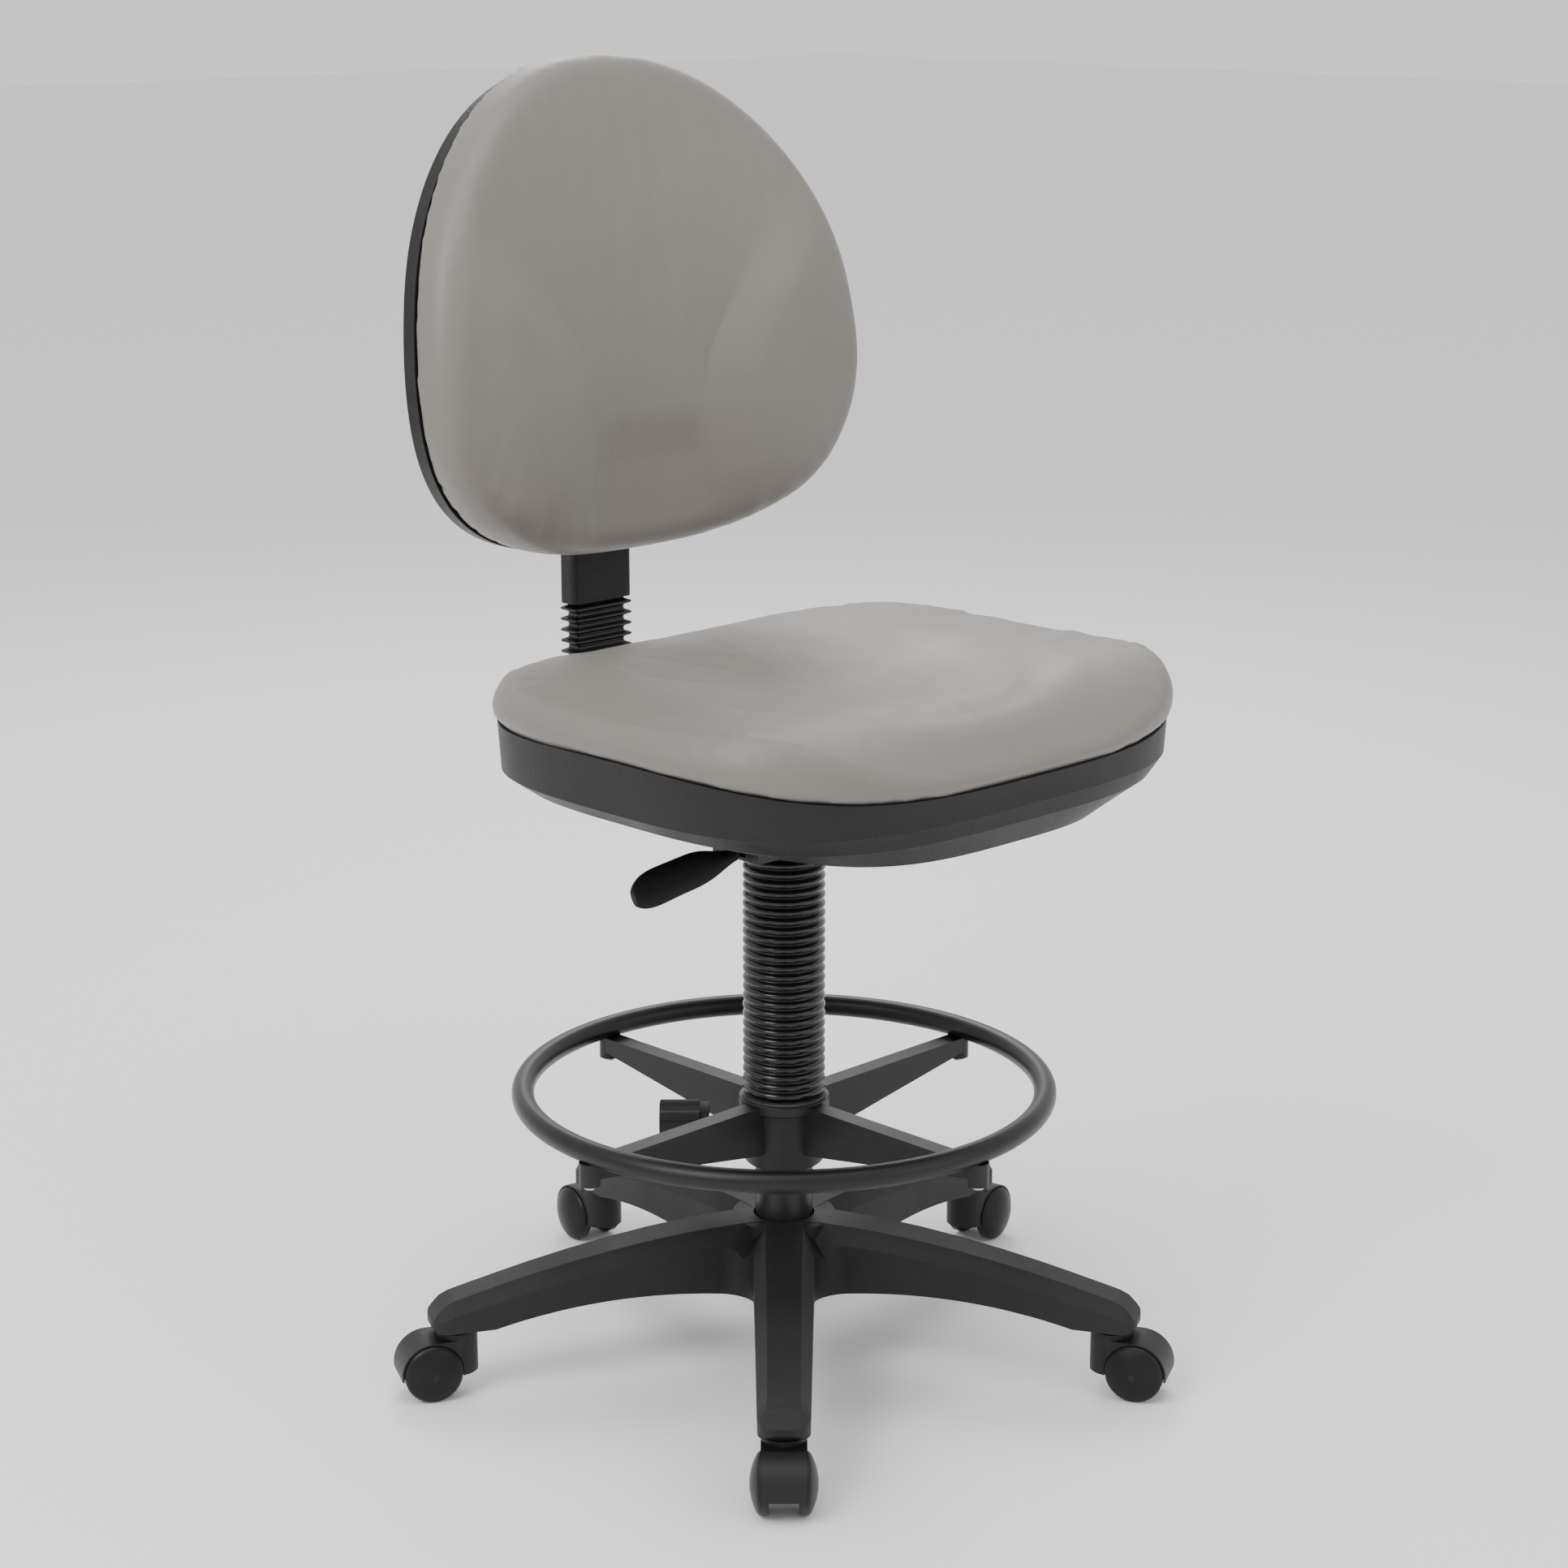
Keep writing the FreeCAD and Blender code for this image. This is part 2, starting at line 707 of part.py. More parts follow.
def make_footring_bush():
    bore, outer = size("tube_radius") + 0.06, size("collar_bore")
    base, top = size("collar_base"), size("spoke_top") + 2
    body = turned("footring_bush", [
        (bore, base + 0.5), (outer, base + 0.5), (outer, top), (outer + 9.3, top), (outer + 9.3, top + 2.2),
        (bore, top + 2.2)])
    side = circle_sketch(body, "stud_window", "YZ_Plane", size("stud_radius") + 0.6, 0, "knob_height")
    pocket(body, "stud_window_cut", side, 60, True)
    body.Placement = Placement(Vector(), compass(FIRST_ARM - 90))
    return body


def knob_place():
    aim = compass(FIRST_ARM - 90)
    turn = aim.multiply(Rotation(Vector(0, 0, 1), Vector(1, 0, 0)))
    return Placement(Vector(0, 0, number("knob_height")), turn)


def make_footring_knob():
    """Lobed clamp knob; its own Z axis points away from the column."""
    radius, start, length = number("knob_radius"), number("knob_start"), number("knob_length")
    lobes = 6
    core = Part.makeCylinder(radius - 2.5, length, Vector(0, 0, start))
    for index in range(lobes):
        angle = math.radians(360.0 / lobes * index)
        centre = Vector((radius - 5.5) * math.cos(angle), (radius - 5.5) * math.sin(angle), start + 8)
        core = core.fuse(Part.makeCylinder(5.5, length - 8, centre))
    core = core.cut(Part.makeCylinder(number("stud_radius"), 20, Vector(0, 0, start)))
    envelope = Part.makeCylinder(radius, length, Vector(0, 0, start))
    rims = [edge for edge in envelope.Edges if len(edge.Vertexes) == 1]
    return solid("footring_knob", core.common(envelope.makeFillet(3.0, rims)), knob_place())


def make_footring_stud():
    radius = size("stud_radius")
    start = size("tube_radius") + 0.25
    return turned("footring_stud", [
        (0, start), (radius - 1, start), (radius, start + 1), (radius, size("knob_start") + 20),
        (0, size("knob_start") + 20)], knob_place())


# ---------------------------------------------------------------- seat mechanism

def make_mechanism_housing():
    """Plate under the seat, and a stamped box below it that narrows to the rear around the J-bar."""
    half, waist, plate = size("housing_half"), size("housing_waist"), size("plate_half")
    front, rear, shoulder = size("housing_front"), size("housing_rear"), size("housing_shoulder")
    base, top, wall = size("housing_base"), size("housing_top"), size("housing_wall")
    flange = block("housing_plate", (-plate, "plate_front", top - wall), (plate * 2, rear * 2, wall))
    box = block("housing_stock", (-half, front, base), (half * 2, shoulder - front, top - base))
    tail = block("housing_tail", (-waist, shoulder - 6, base), (waist * 2, rear - shoulder + 6, top - base))
    outer = fuse("housing_outside", [flange, box, tail])
    inner = block("housing_inside", (-half + wall, front + wall, base + wall),
                  (half * 2 - wall * 2, shoulder - front - wall * 2, top - base - wall * 2))
    tail_inner = block("housing_tail_inside", (-waist + wall, shoulder - wall - 5, base + wall),
                       (waist * 2 - wall * 2, rear - shoulder + 5, top - base - wall * 2))
    rear_gap = block("housing_rear_gap", (-28, rear - 10, base + wall), (56, 20, 12))
    lever_slot = block("housing_lever_slot", (-half - 5, -8, base + wall), (12, 16, 33))
    socket_hole = cylinder("housing_socket_hole", 19, 20, (0, 0, base - 10), (0, 0, 1))
    bolt_holes = [cylinder(f"housing_bolt_hole_{spot}", 4.2, 20, (0, spot, base - 10), (0, 0, 1))
                  for spot in (55, 80)]
    under = top - 10
    top_holes = [cylinder(f"housing_screw_hole_{across}_{along}", 3.3, 20, (across, along, under), (0, 0, 1))
                 for across in (-48, 48) for along in (-76, 76)]
    ears = [block(f"housing_ear_{spot}", (-size("lever_pivot") - 8, spot, base + wall - 1),
                  (16, 3, top - base - wall * 2 + 2)) for spot in (11, -14)]
    pin_hole = cylinder("housing_pin_hole", 2.5, 40, (-size("lever_pivot"), -20, top - 19.6), (0, 1, 0))
    gaps = [inner, tail_inner, rear_gap, lever_slot, socket_hole] + bolt_holes + top_holes
    walls = cut("housing_walls", outer, fuse("housing_gaps", gaps))
    return cut("mechanism_housing", fuse("housing_with_ears", [walls] + ears), pin_hole)


def make_taper_socket():
    outer, base, top = size("spring_radius"), size("housing_base"), size("spring_top")
    return turned("taper_socket", [
        (outer, top - 46), (19, top - 46), (19, top - 2), (outer - 0.8 + 0.035, top - 2)])


def make_lever_rod():
    """Bent wire with a pivot sleeve; its inner end lies over the release pin."""
    wire, pivot, height = number("lever_wire"), number("lever_pivot"), number("housing_top") - 19.6
    tip_height = number("spring_top") + 4.0 + wire
    sleeve = Part.makeCylinder(6, 21, Vector(-pivot, -10.5, height), Vector(0, 1, 0))
    places = [Vector(5, 0, tip_height), Vector(-pivot + 14, 0, tip_height), Vector(-pivot, 0, height),
              Vector(-pivot - 14, 0, height - 22), Vector(-pivot - 34, 0, height - 27)]
    shape = sleeve
    for first, last in zip(places, places[1:]):
        shape = shape.fuse(Part.makeCylinder(wire, (last - first).Length, first, last - first))
    for place in places[1:-1]:
        shape = shape.fuse(Part.makeSphere(wire, place))
    bore = Part.makeCylinder(2.55, 40, Vector(-pivot, -20, height), Vector(0, 1, 0))
    return solid("lever_rod", shape.cut(bore).removeSplitter())


def make_lever_pivot_pin():
    foot = (-size("lever_pivot"), -14, size("housing_top") - 19.6)
    return cylinder("lever_pivot_pin", 2.5, 28, foot, (0, 1, 0))


def make_lever_paddle():
    """Flat oval grip, moulded over the end of the lever."""
    pivot, height = number("lever_pivot"), number("housing_top") - 19.6
    start = Vector(-pivot - 16, 0, height - 22.5)
    sections = []
    slices = [(0, 0, 6.0, 6.5), (12, 3, 6.0, 7.5), (26, 4, 5.6, 11.5), (50, 6, 5.2, 15.0),
              (80, 10, 5.0, 15.5), (104, 14, 4.5, 13.0), (113, 16, 2.5, 7.0)]
    for along, drop, thick, tall in slices:
        ellipse = Part.Ellipse(Vector(), tall, thick)
        ring = Part.Wire([ellipse.toShape()])
        ring.Placement = Placement(start + Vector(-along, 0, -drop), Rotation(Vector(1, 0, 0), -28).multiply(
            Rotation(Vector(0, 1, 0), 90)))
        sections.append(ring)
    grip = Part.makeLoft(sections, True, False)
    end = Vector(-pivot - 34, 0, height - 27)
    bend = Vector(-pivot - 14, 0, height - 22)
    socket = Part.makeCylinder(number("lever_wire"), (end - bend).Length, bend, end - bend)
    elbow = Part.makeSphere(number("lever_wire"), bend)
    return solid("lever_paddle", grip.cut(socket).cut(elbow))


# ---------------------------------------------------------------- seat

def seat_ring(inset, height, front=None, rear=None, points=28):
    """The seat's outline at a height: a squared oval, set in by inset at the sides, front and rear."""
    front = inset if front is None else front
    rear = inset if rear is None else rear
    half_width = number("seat_half_width") - inset
    half_depth = number("seat_half_depth") - (front + rear) / 2
    centre = number("seat_centre") + (front - rear) / 2
    power = 2.0 / number("seat_square")
    places = []
    for index in range(points):
        angle = 2 * math.pi * index / points
        across, along = math.cos(angle), math.sin(angle)
        depth = math.copysign(abs(along) ** power, along)
        width = math.copysign(abs(across) ** power, across)
        places.append(Vector(half_width * width, half_depth * depth + centre, height))
    curve = Part.BSplineCurve()
    curve.interpolate(places, PeriodicFlag=True)
    return Part.Wire([curve.toShape()])


def seat_loft(levels, ruled=False):
    return Part.makeLoft([seat_ring(*level) for level in levels], True, ruled)


def rim_cutter(lift, above):
    """Everything above (or below) the curved rim line, which dips towards the front."""
    rim, dip, centre = number("seat_rim") + lift, number("seat_front_dip"), number("seat_centre")
    front, back = centre - number("seat_half_depth") - 30, centre + number("seat_half_depth") + 30
    curve = Part.BSplineCurve()
    curve.interpolate([Vector(0, back, rim), Vector(0, centre + 40, rim - 1),
                       Vector(0, centre - 90, rim - dip * 0.09),
                       Vector(0, centre - number("seat_half_depth") + 20, rim - dip * 0.76),
                       Vector(0, front, rim - dip * 1.4)])
    far = rim + 120 if above else rim - 160
    ends = [Vector(0, front, far), Vector(0, back, far)]
    edges = [curve.toShape(), Part.makeLine(Vector(0, front, rim - dip * 1.4), ends[0]), Part.makeLine(*ends),
             Part.makeLine(ends[1], Vector(0, back, rim))]
    face = Part.Face(Part.Wire(edges))
    return face.extrude(Vector(700, 0, 0)).translated(Vector(-350, 0, 0))


def make_seat_pan():
    """Moulded tray: a lip that is deepest at the front, a bevelled band and a flat floor."""
    rim, floor, wall = number("seat_rim"), number("pan_floor"), number("pan_wall")
    outside = [(130, floor, 50, 60), (90, floor + 8, 24, 44), (22, floor + 30, 7, 16), (3, floor + 44, 3, 3),
               (0, rim + 10, 0, 0)]
    inside = [tuple(measure + wall for measure in ring) for ring in outside]
    shell = seat_loft(outside, True).cut(seat_loft(inside, True))
    shell = shell.cut(rim_cutter(0, True))
    for across in (-48, 48):
        for along in (-76, 76):
            shell = shell.cut(Part.makeCylinder(3.3, 20, Vector(across, along, floor - 8)))
    return solid("seat_pan", shell)


def make_seat_board():
    """Plywood board that the cushion is stapled to."""
    floor = number("pan_floor") + number("pan_wall") + 0.1
    board = seat_loft([(138, floor, 58, 68), (138, floor + number("board_thick"), 58, 68)], True)
    for across in (-48, 48):
        for along in (-76, 76):
            board = board.cut(Part.makeCylinder(3.3, 20, Vector(across, along, floor - 2)))
    return solid("seat_board", board)


def make_seat_screws():
    """Four screws up through the housing and the pan into the board."""
    top = number("housing_top") - number("housing_wall")
    screw = Part.makeCylinder(3.2, 17.5, Vector(0, 0, top))
    screw = screw.fuse(Part.makeCylinder(5.5, 3.5, Vector(0, 0, top - 3.5)))
    screws = [screw.translated(Vector(across, along, 0)) for across in (-48, 48) for along in (-76, 76)]
    return solid("seat_screws", Part.makeCompound(screws))


def seat_crown(across, along):
    """Height of the cushion's top: hollow in the middle, bolsters at the sides and a roll at the front."""
    height = number("seat_hollow") + 10 * (abs(across) / 225) ** 2.6
    height += 9 * math.exp(-((along + 200) / 55) ** 2)
    height -= 22 * (max(0.0, -215 - along) / 70) ** 2
    return height + 8 * min(1.0, max(0.0, (along - 10) / 110))


def make_seat_cushion():
    """Plain closed form of the foam and its cover: a foot inside the pan and a dished top."""
    rim, floor = number("seat_rim"), number("pan_floor")
    board = floor + number("pan_wall") + number("board_thick") + 0.6
    foot = seat_loft([(100, board, 34, 56), (32, floor + 38, 16, 26), (9, floor + 50, 9, 9),
                      (8, rim + 16, 8, 8)], True)
    crown = seat_loft([(4, rim - 50), (-3, rim + 2), (-3, rim + 12), (1, rim + 24), (9, rim + 36),
                       (26, rim + 45), (48, rim + 50)], True).cut(rim_cutter(0.8, False))
    rows = [[Vector(across, along, seat_crown(across, along)) for across in range(-280, 281, 56)]
            for along in range(-310, 211, 52)]
    surface = Part.BSplineSurface()
    surface.interpolate(rows)
    below = surface.toShape().extrude(Vector(0, 0, -200))
    return solid("seat_cushion", foot.fuse(crown).common(below))


# ---------------------------------------------------------------- back

def make_j_bar():
    """Bent flat bar: a leg bolted in the housing and an upright behind the seat."""
    body = new_body("j_bar")
    base, wall, thick = size("housing_base"), size("housing_wall"), size("bar_thick")
    centre, top, start = size("bar_centre"), size("bar_top"), size(36)
    low = base + wall
    near, far = centre - thick * 0.5, centre + thick * 0.5
    bend = size(30)
    side = outline(body, "bar_side", "YZ_Plane", [
        (start, low), (far - bend - thick, low, bend + thick, 1),
        (far, low + thick + bend), (far, top), (near, top),
        (near, low + thick + bend, bend, -1), (near - bend, low + thick), (start, low + thick)])
    pad(body, "bar", side, size("bar_half") * 2, midplane=True)
    for index, spot in enumerate((55.0, 80.0)):
        hole = circle_sketch(body, f"bar_hole_{index}", "XY_Plane", 4.2, 0, spot, lift=low - 5)
        pocket(body, f"bar_hole_cut_{index}", hole, 30, True)
    return body


def make_j_bar_bolts():
    base, wall, thick = number("housing_base"), number("housing_wall"), number("bar_thick")
    bolts = []
    for spot in (55, 80):
        foot = Vector(0, spot, base)
        bolt = Part.makeCylinder(4.1, wall + thick + 8, foot).fuse(
            Part.makeCylinder(7, 4.5, foot - Vector(0, 0, 4.5)))
        bolts.append(bolt.fuse(Part.makeCylinder(7, 6, foot + Vector(0, 0, wall + thick))))
    return solid("j_bar_bolts", Part.makeCompound(bolts))


def back_middle(height):
    """Y of the shell's rear face on the centre line: upright at the loin, leaning back above."""
    rise = max(0.0, height - 790.0)
    return number("bar_centre") - 14.5 + rise * 0.05 + rise ** 2 * 0.00029


def back_ring(inset, drop=0.0, points=28):
    """The back's egg-shaped outline in the XZ plane; drop lowers its upper half."""
    half, half_height = number("back_half") - inset, number("back_half_height") - inset
    places = []
    for index in range(points):
        angle = 2 * math.pi * index / points
        across, up = math.cos(angle), math.sin(angle)
        power = 2.0 / number("back_round_top" if up > 0 else "back_round_base")
        rise = math.copysign(abs(up) ** power, up)
        width = math.copysign(abs(across) ** power, across) * (1 - number("back_taper") * rise)
        reach = half_height - (drop if up > 0 else 0.0)
        places.append(Vector(half * width, 0, reach * rise + number("back_centre")))
    curve = Part.BSplineCurve()
    curve.interpolate(places, PeriodicFlag=True)
    return Part.Wire([curve.toShape()])


def back_slab(forward, thick):
    """A curved sheet as thick as asked whose rear face lies forward of the shell's rear."""
    rows = []
    for step in range(9):
        height = 660.0 + step * 60.0
        middle = back_middle(height) - forward
        rows.append([Vector(across, middle - number("back_wrap") * (across / 230.0) ** 2, height)
                     for across in range(-280, 281, 70)])
    surface = Part.BSplineSurface()
    surface.interpolate(rows)
    return surface.toShape().extrude(Vector(0, -thick, 0))


def back_prism(inset, drop):
    face = Part.Face(back_ring(inset, drop))
    return face.extrude(Vector(0, 500, 0)).translated(Vector(0, -50, 0))


def back_piece(inset, forward, thick, drop=0.0):
    return back_slab(forward, thick).common(back_prism(inset, drop))


def screw_holes(shape, radius):
    """The shape with the four holes for the screws between the bracket and the back."""
    for across in (-18, 18):
        for height in (720, 765):
            shape = shape.cut(Part.makeCylinder(radius, 60, Vector(across, number("bar_centre") - 4, height),
                                                Vector(0, -1, 0)))
    return shape


def make_back_shell():
    depth, wall = number("shell_depth"), number("shell_wall")
    shell = back_piece(0, 0, depth, 10).cut(back_piece(4, wall, depth + 10, 10))
    return solid("back_shell", screw_holes(shell, 2.55))


def make_back_board():
    board = back_piece(26, number("shell_wall") + 0.1, 9.0, 10)
    return solid("back_board", screw_holes(board, 2.5))


def is_front_rim(edge):
    """The edge that runs round the front of the back cushion."""
    return edge.BoundBox.XLength > 300 and edge.BoundBox.ZLength > 300 and edge.BoundBox.YMin < 160


def make_back_cushion():
    """Plain closed form of the foam and its cover: rounded in front, with a foot inside the shell."""
    depth = number("shell_depth")
    front = back_piece(0, depth + 0.4, number("back_pad") - depth)
    front = front.makeFillet(20, [edge for edge in front.Edges if is_front_rim(edge)])
    foot = back_piece(5, number("shell_wall") + 9.5, 12, 10)
    return solid("back_cushion", front.fuse(foot))


def make_ratchet_bracket():
    """Channel that slides on the upright and is screwed to the back."""
    half, thick, centre = size("bar_half") + 0.3, size("bar_thick"), size("bar_centre")
    base, top = size("sleeve_base") + 14, size("sleeve_top") - 6
    outer = block("bracket_stock", (-half - 3, centre - thick * 0.5 - 3.3, base),
                  (half * 2 + 6, thick + 6.6, top - base))
    slide = block("bracket_slide", (-half, centre - thick * 0.5 - 0.3, base - 10),
                  (half * 2, thick + 0.6, top - base + 20))
    depth = centre - thick * 0.5
    holes = [cylinder(f"bracket_hole_{across}_{height}", 2.55, 10, (across, depth, height), (0, -1, 0))
             for across in (-18, 18) for height in (720, 765)]
    return cut("ratchet_bracket", outer, fuse("bracket_gaps", [slide] + holes))


def make_j_bar_sleeve():
    """Moulded cover with rounded edges over the bracket and the upright."""
    half, depth = number("sleeve_half"), number("sleeve_depth")
    base, top, centre = number("sleeve_base"), number("sleeve_top"), number("bar_centre")
    outer = Part.makeBox(half * 2, depth, top - base, Vector(-half, centre - depth / 2, base))
    outer = outer.makeFillet(6, [edge for edge in outer.Edges if is_vertical(edge)])
    inner = Part.makeBox(half * 2 - 5, depth - 5, top - base,
                         Vector(-half + 2.5, centre - depth / 2 + 2.5, base - 2))
    return solid("j_bar_sleeve", screw_holes(outer.cut(inner), 2.55))


def make_accordion():
    """Square bellows round the upright, from below the sleeve down behind the seat."""
    base, top, centre = number("accordion_base"), number("sleeve_base") - 0.4, number("bar_centre")
    folds = 8
    step = (top - base) / folds
    pieces = []
    for index in range(folds):
        foot = base + index * step
        waist = Part.makeBox(56, 13.5, step + 0.01, Vector(-28, centre - 6.75, foot))
        flange = Part.makeBox(68, 22, 4.0, Vector(-34, centre - 11, foot + step * 0.5 - 2))
        pieces += [waist, flange]
    shape = pieces[0].multiFuse(pieces[1:])
    inside = Part.makeBox(52, 10, top - base + 10, Vector(-26, centre - 5, base - 5))
    return solid("j_bar_accordion", shape.cut(inside).removeSplitter())


def make_back_screws():
    """Four screws from the bracket through the shell into the board."""
    start = number("bar_centre") - number("bar_thick") / 2 - 3.3
    screws = []
    for across in (-18, 18):
        for height in (720, 765):
            screws.append(Part.makeCylinder(2.5, 17, Vector(across, start + 2.9, height), Vector(0, -1, 0)))
    return solid("back_screws", Part.makeCompound(screws))


PIECES = {"star_base": make_star_base(), "hub_ring": make_hub_ring()}
for number_of_arm, arm_angle in enumerate(ARM_ANGLES, start=1):
    PIECES.update(make_caster(number_of_arm, arm_angle))
for maker in (make_column_tube, make_guide_bush, make_pressure_tube, make_piston_rod, make_piston,
              make_thrust_bearing, make_rod_clip, make_release_pin, make_column_bellows, make_footring_hub,
              make_footring_tube, make_footring_screws, make_footring_bush, make_footring_knob,
              make_footring_stud, make_mechanism_housing, make_taper_socket, make_lever_rod,
              make_lever_pivot_pin, make_lever_paddle, make_seat_pan, make_seat_board, make_seat_screws,
              make_seat_cushion, make_j_bar, make_j_bar_bolts, make_back_shell, make_back_board,
              make_back_cushion, make_ratchet_bracket, make_j_bar_sleeve, make_accordion, make_back_screws):
    piece = maker()
    PIECES[piece.Label] = piece
doc.recompute()

failed = [item.Name for item in doc.Objects if "Invalid" in item.State or "Error" in item.State]
if failed:
    raise RuntimeError(f"objects that failed: {failed}")
for label, piece in PIECES.items():
    if piece.Shape.isNull() or not piece.Shape.isValid():
        raise RuntimeError(f"{label} has no valid shape")
os.makedirs("parts", exist_ok=True)
for label, piece in PIECES.items():
    piece.Shape.exportStep(f"parts/{label}.step")
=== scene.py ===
import json
import math

import bmesh
import bpy
import numpy as np
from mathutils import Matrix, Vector


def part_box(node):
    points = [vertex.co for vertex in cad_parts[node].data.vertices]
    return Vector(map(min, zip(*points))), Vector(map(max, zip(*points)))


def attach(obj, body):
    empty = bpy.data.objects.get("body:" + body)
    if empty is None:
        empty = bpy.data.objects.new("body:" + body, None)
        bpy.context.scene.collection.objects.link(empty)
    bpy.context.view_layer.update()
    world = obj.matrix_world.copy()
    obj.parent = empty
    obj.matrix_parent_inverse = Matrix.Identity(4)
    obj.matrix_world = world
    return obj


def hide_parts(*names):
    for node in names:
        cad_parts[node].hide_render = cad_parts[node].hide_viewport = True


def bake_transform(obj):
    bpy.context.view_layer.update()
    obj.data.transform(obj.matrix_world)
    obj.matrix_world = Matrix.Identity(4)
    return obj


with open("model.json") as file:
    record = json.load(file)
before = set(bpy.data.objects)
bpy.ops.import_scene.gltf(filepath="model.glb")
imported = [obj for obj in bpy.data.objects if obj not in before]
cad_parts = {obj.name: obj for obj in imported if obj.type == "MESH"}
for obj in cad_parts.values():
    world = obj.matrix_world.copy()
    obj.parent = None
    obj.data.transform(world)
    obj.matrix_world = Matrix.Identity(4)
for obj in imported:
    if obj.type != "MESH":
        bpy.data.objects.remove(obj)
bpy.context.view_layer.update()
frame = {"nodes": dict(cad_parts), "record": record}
NODES = frame["nodes"]
SLOT_OF = {row["node"]: row["material_slot"] for row in frame["record"]["subparts"]}
SCENE = bpy.context.scene


# ---------------------------------------------------------------- camera, light and floor

# a long lens a little above the seat, looking across the chair's front right
CAMERA_TURN = math.radians(-44)
CAMERA_TILT = math.radians(14.65)


def add_camera():
    data = bpy.data.cameras.new("camera")
    data.lens = 76.3
    data.sensor_width = 36
    data.clip_end = 60
    camera = bpy.data.objects.new("camera", data)
    camera.location = (2.72 * math.sin(CAMERA_TURN), -2.72 * math.cos(CAMERA_TURN), 1.224)
    camera.rotation_euler = (math.radians(90) - CAMERA_TILT, 0, CAMERA_TURN)
    SCENE.collection.objects.link(camera)
    SCENE.camera = camera


def add_light(name, azimuth, distance, height, size, power, aim=(0, 0, 0.6)):
    """A soft square light; azimuth is measured like the camera's."""
    data = bpy.data.lights.new(name, "AREA")
    data.shape = "SQUARE"
    data.size = size
    data.energy = power
    light = bpy.data.objects.new(name, data)
    turn = math.radians(azimuth)
    light.location = (distance * math.sin(turn), -distance * math.cos(turn), height)
    light.rotation_euler = (Vector(aim) - light.location).to_track_quat("-Z", "Y").to_euler()
    SCENE.collection.objects.link(light)


def add_studio():
    """White surroundings, four soft lights and a plain pale floor just under the wheels."""
    world = bpy.data.worlds.new("studio")
    world.use_nodes = True
    back = world.node_tree.nodes["Background"]
    back.inputs["Color"].default_value = (1.0, 1.0, 1.0, 1)
    back.inputs["Strength"].default_value = 1.0
    SCENE.world = world
    add_light("key", -88, 2.6, 2.7, 1.5, 62)
    add_light("fill", 15, 3.4, 1.7, 2.0, 14)
    add_light("rim", 140, 2.6, 2.6, 1.4, 42)
    add_light("top", -30, 0.6, 3.0, 1.8, 30)
    bpy.ops.mesh.primitive_plane_add(size=40, location=(0, 0, -0.0006))
    floor = bpy.context.object
    floor.name = "floor"
    floor.data.materials.append(plain("floor_paint", (0.9, 0.9, 0.9), 0.9))


# ---------------------------------------------------------------- materials

def plain(name, colour, roughness):
    made = bpy.data.materials.new(name)
    made.use_nodes = True
    shader = made.node_tree.nodes["Principled BSDF"]
    shader.inputs["Base Color"].default_value = (*colour, 1)
    shader.inputs["Roughness"].default_value = roughness
    return made


class Graph:
    """Small helper that adds nodes to a material and joins them."""

    def __init__(self, material):
        self.tree = material.node_tree
        self.shader = self.tree.nodes["Principled BSDF"]
        self.place = self.add("ShaderNodeTexCoord").outputs["Object"]

    def add(self, kind, **inputs):
        node = self.tree.nodes.new(kind)
        for name, value in inputs.items():
            self.feed(node.inputs[name.replace("_", " ")], value)
        return node

    def feed(self, socket, value):
        if isinstance(value, bpy.types.NodeSocket):
            self.tree.links.new(value, socket)
        else:
            socket.default_value = value

    def noise(self, scale, detail=3.0, roughness=0.55, place=None):
        node = self.add("ShaderNodeTexNoise", Scale=scale, Detail=detail, Roughness=roughness)
        self.feed(node.inputs["Vector"], place or self.place)
        return node.outputs["Fac"]

    def cells(self, scale, smooth=0.6, place=None):
        node = self.tree.nodes.new("ShaderNodeTexVoronoi")
        node.feature = "SMOOTH_F1"
        self.feed(node.inputs["Scale"], scale)
        self.feed(node.inputs["Smoothness"], smooth)
        self.feed(node.inputs["Vector"], place or self.place)
        return node.outputs["Distance"]

    def spread(self, value, low, high, start=0.3, end=0.7):
        node = self.add("ShaderNodeMapRange")
        self.feed(node.inputs["Value"], value)
        for name, number in (("From Min", start), ("From Max", end), ("To Min", low), ("To Max", high)):
            node.inputs[name].default_value = number
        return node.outputs["Result"]

    def blend(self, share, first, second):
        node = self.tree.nodes.new("ShaderNodeMix")
        node.data_type = "RGBA"
        self.feed(node.inputs[0], share)
        self.feed(node.inputs[6], first)
        self.feed(node.inputs[7], second)
        return node.outputs[2]

    def maths(self, kind, first, second):
        node = self.tree.nodes.new("ShaderNodeMath")
        node.operation = kind
        self.feed(node.inputs[0], first)
        self.feed(node.inputs[1], second)
        return node.outputs[0]

    def bump(self, height, strength, distance, normal=None):
        node = self.add("ShaderNodeBump", Strength=strength, Distance=distance, Height=height)
        if normal is not None:
            self.feed(node.inputs["Normal"], normal)
        return node.outputs["Normal"]

    def stretched(self, factors):
        node = self.tree.nodes.new("ShaderNodeMapping")
        node.inputs["Scale"].default_value = factors
        self.feed(node.inputs["Vector"], self.place)
        return node.outputs["Vector"]


